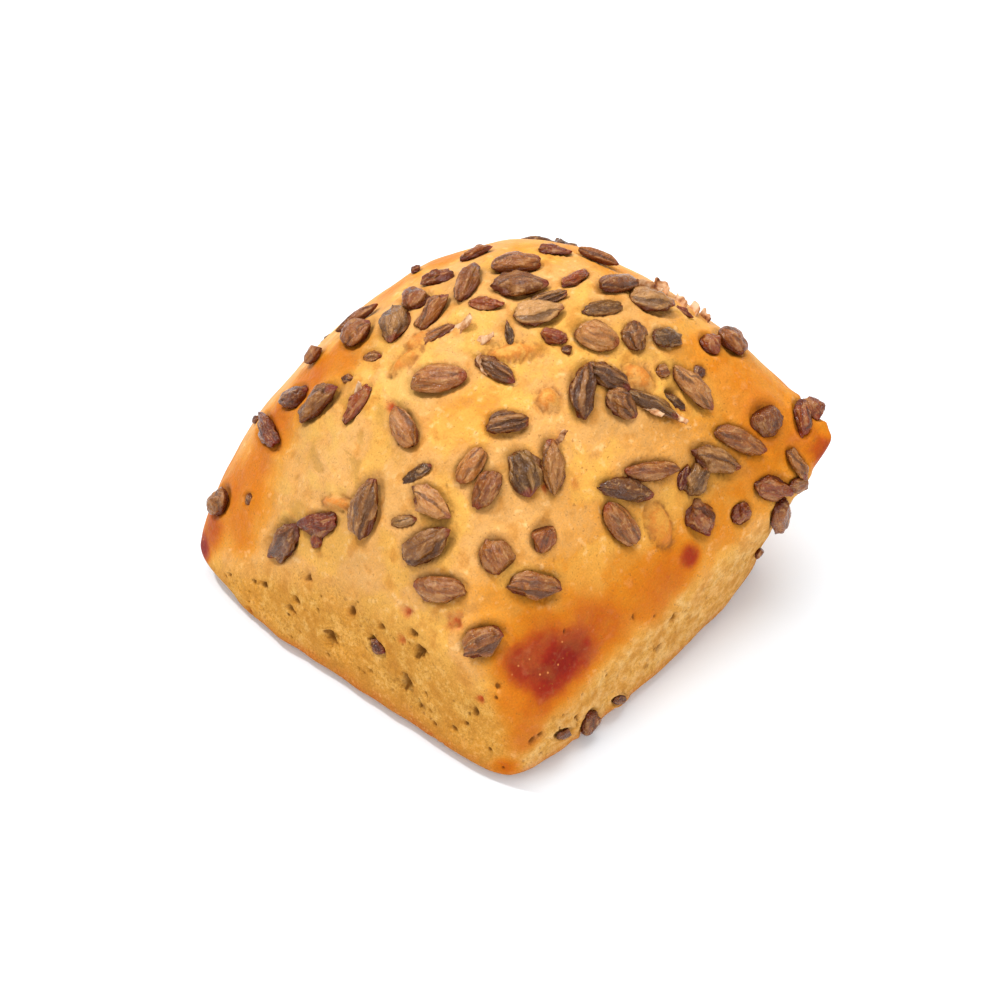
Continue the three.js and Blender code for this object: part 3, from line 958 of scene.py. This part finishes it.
# Baked wheat dough: a satin skin on top, from pale gold to a burnt red-brown, and a matt open crumb on the
# cut sides.
dough = {
    "clouds": {"mottle": (9, 3), "patches": (3.4, 4), "grain": (1.7, 3), "fine": (0.6, 2), "grit": (0.3, 1)},
    "uneven": {"mottle": 0.34, "grain": 0.2, "fine": 0.14},  # how much each cloud changes the baking
    "skin": [(0.0, "#dea866"), (0.12, "#d99d54"), (0.26, "#d48b2e"), (0.38, "#ca7712"), (0.52, "#c06608"),
             (0.66, "#ab4a0a"), (0.8, "#98310d"), (0.92, "#8f220c"), (1.0, "#7e190a")],
    "crumb": [(0.3, "#b87a2a"), (0.44, "#c38634"), (0.58, "#cb913d"), (0.74, "#d4a052")],
    # spacing in mm, reach, share of the cells
    "pores": {"wide": (3.4, 0.22, 0.45), "narrow": (1.5, 0.24, 0.4), "blister": (1.3, 0.2, 0.55)},
}


def bakedDough():
    material, tree = newMaterial("bakedDough")
    places = addNode(tree, "TexCoord", output="Object")
    names = ("baked", "stretched", "oily", "oilAndShadeRing", "contactShade", "covered", "coverCreaseShade", "hole", "black", "red",
             "cutSide", "rise", "alongY", "underside")
    marks = {name: addNode(tree, "Attribute", output="Fac", attribute_name=name) for name in names}
    clouds = {name: addNode(tree, "TexNoise", {"Vector": places, "Scale": perMetre(size), "Detail": detail})
              for name, (size, detail) in dough["clouds"].items()}
    baked = marks["baked"]
    for name, weight in dough["uneven"].items():
        baked = addNode(tree, "Math", {0: clouds[name], 1: weight, 2: baked}, operation="MULTIPLY_ADD")
    baked = addNode(tree, "Math", {0: baked, 1: sum(dough["uneven"].values()) / 2}, operation="SUBTRACT")

    # pale streaks and olive folds where the skin is stretched
    lengthened = addNode(tree, "Mapping", {"Vector": places, "Rotation": (0.35, 0.5, 0.2),
                                           "Scale": (1, 2.6, 1)}, vector_type="TEXTURE")
    streaks = addNode(tree, "TexNoise", {"Vector": lengthened, "Scale": perMetre(3.6), "Detail": 3.0,
                                         "Distortion": 0.5})

    # open pores of the crumb, round cells of which only some are kept; the crumb is darkened in them with
    # painted shade
    pores = {}
    for name, (spacing, reach, share) in dough["pores"].items():
        sockets = {"Vector": places, "Scale": perMetre(spacing)}
        distance = addNode(tree, "TexVoronoi", sockets, output="Distance")
        chance = addNode(tree, "SeparateColor", {0: addNode(tree, "TexVoronoi", sockets, output="Color")})
        near = addNode(tree, "MapRange", {"Value": distance, "From Min": reach, "From Max": reach * 0.4})
        kept = addNode(tree, "MapRange", {"Value": chance, "From Min": 1 - share, "From Max": 1.1 - share})
        pores[name] = addNode(tree, "Math", {0: near, 1: kept}, operation="MULTIPLY")

    # each is what it follows, from where to where on it, and its least and greatest strength
    ranges = {
        "paleStreaks": (streaks, 0.5, 0.66, 0, 1),
        "gilded": (clouds["mottle"], 0.48, 0.6, 0, 0.8),
        "tanned": (clouds["patches"], 0.5, 0.3, 0, 0.75),
        # pale flecks on the skin: partly its own mottling, partly painted sheen
        "paleFlecksAndSheen": (clouds["grain"], 0.56, 0.74, 0, 0.65),
        "sooty": (clouds["fine"], 0.4, 0.26, 0, 0.5),
        "oliveFolds": (streaks, 0.46, 0.34, 0, 0.6),
        "patchy": (clouds["grain"], 0.38, 0.62, 0.15, 1),
        "breakUp": (clouds["patches"], 0.35, 0.62, 0.25, 1),
        "blistered": (baked, 0.5, 0.85, 0, 0.8),
        "lowWall": (marks["rise"], 0.3, 0.0, 0, 0.5),
        "foot": (marks["rise"], 0.17, 0.02, 0, 0.9),
        "crumbly": (clouds["fine"], 0.5, 0.3, 0, 0.5),
        "flaky": (clouds["fine"], 0.52, 0.7, 0, 0.4),
        "goldCrumb": (clouds["mottle"], 0.52, 0.36, 0, 0.7),
        "highWall": (marks["rise"], 0.5, 1.0, 0, 0.6),
        "toasted": (marks["baked"], 0.24, 0.6, 0, 1),
        "bland": (marks["baked"], 0.5, 0.14, 0.1, 1),
        "oliveCrumb": (clouds["mottle"], 0.5, 0.7, 0, 0.25),
        "paleCrumb": (clouds["grain"], 0.52, 0.7, 0, 0.45),
        "darkCrumb": (clouds["grain"], 0.46, 0.3, 0, 0.4),
        # painted shade inside the gas holes
        "pit": (marks["hole"], 0.1, 0.8, 0, 0.86),
        # the near-right cut side made paler: painted light
        "paintedLightWall": (marks["alongY"], -0.88, -1.0, 0, 0.3),
    }
    masks = {name: addNode(tree, "MapRange", {"Value": source, "From Min": low, "From Max": high,
                                              "To Min": least, "To Max": most},
                           interpolation_type="SMOOTHSTEP")
             for name, (source, low, high, least, most) in ranges.items()}

    skin = addNode(tree, "ValToRGB", {"Fac": baked}, stops=dough["skin"])
    skin = layOver(tree, skin, [
        (masks["bland"], masks["gilded"], 1.0, "#e2a84c"),
        (masks["bland"], masks["tanned"], 1.0, "#c17e2e"),
        # pale flecks: partly the skin's own mottling, partly painted sheen
        (masks["bland"], masks["paleFlecksAndSheen"], 1.0, "#ebbe80"),
        (masks["breakUp"], masks["sooty"], 1.0, "#8d5218"),
        (marks["stretched"], masks["paleStreaks"], 0.65, "#dcab56"),
        (marks["stretched"], masks["oliveFolds"], 0.9, "#a87c32"),
        (marks["oily"], masks["breakUp"], 0.75, "#ab7a38"),
        # partly oil soaked in round the kernels, partly painted shade
        (marks["oilAndShadeRing"], masks["patchy"], 0.55, "#96692a"),
        (masks["blistered"], pores["blister"], 1.0, "#d9884a"),
        (marks["covered"], masks["patchy"], 0.85, "#c67428"),
        # painted shade in the crease round each covered kernel
        (marks["coverCreaseShade"], masks["patchy"], 0.8, "#84501f"),
    ])
    crumb = addNode(tree, "ValToRGB", {"Fac": clouds["patches"]}, stops=dough["crumb"])
    crumb = layOver(tree, crumb, [
        (masks["oliveCrumb"], masks["patchy"], 0.9, "#b08238"),
        (masks["goldCrumb"], masks["patchy"], 0.9, "#d08a2a"),
        (masks["paleCrumb"], masks["patchy"], 0.7, "#dcab62"),
        (masks["darkCrumb"], masks["breakUp"], 0.8, "#a0682a"),
        # painted shade in the crumb's open pores
        (pores["wide"], masks["breakUp"], 0.75, "#80501e"),
        (pores["narrow"], masks["patchy"], 0.6, "#8c5a24"),
        (masks["lowWall"], masks["patchy"], 1.0, "#b56c22"),
        (masks["foot"], masks["breakUp"], 1.0, "#b8621a"),
        (masks["crumbly"], masks["breakUp"], 0.9, "#955f26"),
        (masks["flaky"], masks["breakUp"], 0.8, "#dcae68"),
        # painted light: the near-right cut side paler than the others
        (masks["paintedLightWall"], masks["patchy"], 1.0, "#d8b27c"),
    ])
    crumb = addNode(tree, "Mix", {0: masks["toasted"], 6: crumb, 7: skin}, output=2, data_type="RGBA")

    # the border between skin and crumb is uneven
    cut = addNode(tree, "Math", {0: clouds["patches"], 1: 0.8, 2: marks["cutSide"]}, operation="MULTIPLY_ADD")
    cut = addNode(tree, "Math", {0: cut, 1: masks["highWall"]}, operation="SUBTRACT")
    cut = addNode(tree, "MapRange", {"Value": cut, "From Min": 0.5, "From Max": 1.3})
    colour = addNode(tree, "Mix", {0: cut, 6: skin, 7: crumb}, output=2, data_type="RGBA")
    colour = layOver(tree, colour, [
        # painted shade where the kernels meet the crust, broken up in patches
        (marks["contactShade"], masks["breakUp"], 0.6, "#5e3414"),
        # painted shade inside the gas holes
        (masks["pit"], masks["pit"], 1.0, "#63390f"),
        (marks["black"], marks["black"], 1.0, "#2a120a"),
        (marks["red"], masks["breakUp"], 0.95, "#b8401c"),
        (marks["underside"], marks["underside"], 1.0, "#b8783a"),
    ])
    grit = addNode(tree, "Math", {0: clouds["grain"], 1: 0.5, 2: clouds["grit"]}, operation="MULTIPLY_ADD")
    light = addNode(tree, "MapRange", {"Value": grit, "From Min": 0.4, "From Max": 1.1, "To Min": 0.84,
                                       "To Max": 1.16})
    colour = addNode(tree, "HueSaturation", {"Color": colour, "Value": light})

    rough = addNode(tree, "MapRange", {"Value": cut, "To Min": 0.55, "To Max": 0.9})
    relief = addNode(tree, "Math", {0: clouds["fine"], 1: 0.2, 2: clouds["grain"]}, operation="MULTIPLY_ADD")
    folds = addNode(tree, "Math", {0: streaks, 1: marks["stretched"]}, operation="MULTIPLY")
    relief = addNode(tree, "Math", {0: folds, 1: 1.4, 2: relief}, operation="MULTIPLY_ADD")
    relief = addNode(tree, "Math", {0: relief, 1: 0.75}, operation="MULTIPLY")
    sponge = addNode(tree, "TexNoise", {"Vector": places, "Scale": perMetre(1.1), "Detail": 4.0})
    sponge = addNode(tree, "Math", {0: pores["wide"], 1: -0.6, 2: sponge}, operation="MULTIPLY_ADD")
    sponge = addNode(tree, "Math", {0: pores["narrow"], 1: -0.4, 2: sponge}, operation="MULTIPLY_ADD")
    sponge = addNode(tree, "Math", {0: sponge, 1: 0.75}, operation="MULTIPLY")
    relief = addNode(tree, "Mix", {0: cut, 2: relief, 3: sponge})
    bump = addNode(tree, "Bump", {"Strength": 1.0, "Distance": 0.45 * mm, "Height": relief})
    shader = addNode(tree, "BsdfPrincipled", {"Base Color": colour, "Roughness": rough, "IOR": 1.45,
                                              "Specular IOR Level": 0.14, "Normal": bump})
    addNode(tree, "OutputMaterial", {"Surface": shader})
    return material


# Roasted sunflower kernel: oily and wrinkled along its length, so it glints in thin lines, with dark
# red-brown edges that are partly painted shade under it, painted shade in its grooves, painted highlights on
# its ridges, and a pale bloom and flecks that are partly its own and partly painted sheen and glints.
kernelFinish = {
    "clouds": {"blotch": (2.2, 3), "fleck": (0.7, 3), "grit": (0.3, 2)},
    "streaks": (0.42, 1.5, 1.5),  # how fast the lines change along, across and through the kernel, per mm
    "brown": [(0.0, "#46200a"), (0.3, "#6b340d"), (0.55, "#8a4c18"), (0.8, "#ad6a2e"), (1.0, "#c88a4c")],
    "dull": [(0.0, "#3d240c"), (0.3, "#593812"), (0.55, "#765022"), (0.8, "#997040"), (1.0, "#bd9058")],
    "red": [(0.0, "#4e1504"), (0.4, "#762a0a"), (0.7, "#964213"), (1.0, "#b5662a")],
    # the pale bloom and flecks are partly painted sheen and glints, the ridges carry a painted highlight, the
    # valleys painted shade, and the dark edge partly painted shade under the kernel
    "layers": {"dark": "#4c260c", "bloomAndSheen": "#bd8c56", "flecksAndGlints": "#c89a64", "ridgeHighlight": "#b07c48",
               "valley": "#3e1e0c", "edge": "#581c08", "tip": "#7a1706"},
}


def roastedKernel():
    material, tree = newMaterial("roastedKernel")
    places = addNode(tree, "TexCoord", output="Object")
    marks = {name: addNode(tree, "Attribute", output="Fac", attribute_name=name)
             for name in ("tone", "grey", "crease", "lowness", "endwise")}
    clouds = {name: addNode(tree, "TexNoise", {"Vector": places, "Scale": perMetre(size), "Detail": detail})
              for name, (size, detail) in kernelFinish["clouds"].items()}
    grain = addNode(tree, "Attribute", output="Vector", attribute_name="ownPlace")
    grain = addNode(tree, "Mapping", {"Vector": grain, "Scale": kernelFinish["streaks"]})
    clouds["streak"] = addNode(tree, "TexNoise", {"Vector": grain, "Scale": 1.0, "Detail": 4.0,
                                                  "Distortion": 0.6})
    tone = addNode(tree, "Math", {0: clouds["streak"], 1: 0.7, 2: marks["tone"]}, operation="MULTIPLY_ADD")
    tone = addNode(tree, "Math", {0: clouds["blotch"], 1: 0.35, 2: tone}, operation="MULTIPLY_ADD")
    tone = addNode(tree, "Math", {0: tone, 1: 0.48}, operation="SUBTRACT")
    kinds = {name: addNode(tree, "ValToRGB", {"Fac": tone}, stops=kernelFinish[name])
             for name in ("brown", "dull", "red")}
    ranges = {
        "isBrown": (marks["grey"], 0.0, 0.2, 0, 1),
        "isDull": (marks["grey"], 0.3, 0.9, 0, 1),
        "dark": (clouds["streak"], 0.42, 0.28, 0, 0.45),
        # pale along the streaks: partly the kernel's own pale bloom, partly painted sheen
        "bloomAndSheen": (clouds["streak"], 0.55, 0.72, 0, 0.6),
        # pale flecks: partly the kernel's own mottling, partly painted glints
        "flecksAndGlints": (clouds["fleck"], 0.58, 0.72, 0, 0.5),
        # paler on the ridges: painted highlight
        "ridgeHighlight": (marks["crease"], 0.56, 0.74, 0, 0.45),
        # darker in the grooves: painted shade
        "valley": (marks["crease"], 0.42, 0.14, 0, 0.65),
        # darker red-brown on the low part: partly the kernel's own edge colour, partly painted shade under it
        "edge": (marks["lowness"], 0.36, 0.58, 0, 0.88),
        "tip": (marks["endwise"], 0.86, 0.97, 0, 0.55),
    }
    masks = {name: addNode(tree, "MapRange", {"Value": source, "From Min": low, "From Max": high,
                                              "To Min": least, "To Max": most},
                           interpolation_type="SMOOTHSTEP")
             for name, (source, low, high, least, most) in ranges.items()}
    mixes = [("isBrown", kinds["brown"]), ("isDull", kinds["dull"])]
    mixes += [(name, hexColour(tint)) for name, tint in kernelFinish["layers"].items()]
    colour = kinds["red"]
    for name, tint in mixes:
        colour = addNode(tree, "Mix", {0: masks[name], 6: colour, 7: tint}, output=2, data_type="RGBA")
    relief = addNode(tree, "Math", {0: clouds["streak"], 1: 2.2, 2: clouds["fleck"]},
                     operation="MULTIPLY_ADD")
    relief = addNode(tree, "Math", {0: clouds["grit"], 1: 0.3, 2: relief}, operation="MULTIPLY_ADD")
    bump = addNode(tree, "Bump", {"Strength": 1.0, "Distance": 0.24 * mm, "Height": relief})
    rough = addNode(tree, "MapRange", {"Value": clouds["fleck"], "From Min": 0.35, "From Max": 0.65,
                                       "To Min": 0.12, "To Max": 0.36})
    shader = addNode(tree, "BsdfPrincipled", {"Base Color": colour, "Roughness": rough, "IOR": 1.47,
                                              "Specular IOR Level": 0.44, "Normal": bump})
    addNode(tree, "OutputMaterial", {"Surface": shader})
    return material


# Dried husk of the kernels: thin and papery, so it is pale with brown, matt edges.
def driedHusk():
    material, tree = newMaterial("driedHusk")
    places = addNode(tree, "TexCoord", output="Object")
    cloud = addNode(tree, "TexNoise", {"Vector": places, "Scale": perMetre(1.4), "Detail": 3.0})
    colour = addNode(tree, "ValToRGB", {"Fac": cloud},
                     stops=[(0.32, "#6a3416"), (0.46, "#b57a48"), (0.62, "#dcb48c")])
    bump = addNode(tree, "Bump", {"Strength": 1.0, "Distance": 0.1 * mm, "Height": cloud})
    shader = addNode(tree, "BsdfPrincipled", {"Base Color": colour, "Roughness": 0.6,
                                              "Specular IOR Level": 0.3, "Normal": bump})
    addNode(tree, "OutputMaterial", {"Surface": shader})
    return material


# Floor and light

def makeFloor():
    deselectAll()
    bpy.ops.mesh.primitive_plane_add(size=6, location=(0, 0, -0.05 * mm))
    floor = bpy.context.object
    floor.name = "floor"
    material, tree = newMaterial("paleBoard")
    shade = addNode(tree, "TexNoise", {"Scale": 4.0})
    colour = addNode(tree, "ValToRGB", {"Fac": shade}, stops=[(0.0, "#edf3f8"), (1.0, "#f1f5fa")])
    shader = addNode(tree, "BsdfPrincipled", {"Base Color": colour, "Roughness": 0.9,
                                              "Specular IOR Level": 0.2})
    addNode(tree, "OutputMaterial", {"Surface": shader})
    floor.data.materials.append(material)


studio = {
    "world": 0.64,
    "lamps": {  # metres, and watts
        "key": dict(place=(0.38, 0.12, 1.0), size=0.6, power=6.0),
        "spark": dict(place=(-0.1, 0.6, 0.95), size=0.08, power=6.5),
        "fill": dict(place=(-0.6, -0.85, 0.6), size=0.9, power=6.0),
    },
}


def makeLights():
    for name, lamp in studio["lamps"].items():
        bpy.ops.object.light_add(type="AREA", location=lamp["place"])
        light = bpy.context.object
        light.name = name
        light.data.size = lamp["size"]
        light.data.energy = lamp["power"]
        aim = Vector((0, 0, 20 * mm)) - light.location
        light.rotation_euler = aim.to_track_quat("-Z", "Y").to_euler()
    world = bpy.data.worlds.new("studio")
    world.use_nodes = True
    world.node_tree.nodes["Background"].inputs["Color"].default_value = (1, 1, 1, 1)
    world.node_tree.nodes["Background"].inputs["Strength"].default_value = studio["world"]
    scene.world = world
    scene.view_settings.view_transform = "Standard"


# The roll is put together

makeCamera()
makeFloor()
makeLights()
body = makeBody()
print("body", len(body.data.polygons), "faces")
roughen(body)
tree = BVHTree.FromObject(body, bpy.context.evaluated_depsgraph_get())
draw = random.Random(kernelRow["seed"])
seats = seatShown(tree, draw)
seatHidden(tree, seats, draw)
bakeCrust(body, tree)
pressCrust(body, seats, tree, draw)
print("kernels", len(seats))
kernels = makeKernels(seats, draw)
body.data.materials.append(bakedDough())
roasted = roastedKernel()
for piece in kernels:
    piece.data.materials.clear()
    piece.data.materials.append(roasted)
flakes = makeFlakes(tree, draw)
flakes.data.materials.append(driedHusk())
for piece in [body, *kernels, flakes]:
    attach(piece, "root")
    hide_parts("roll")

print("finished")
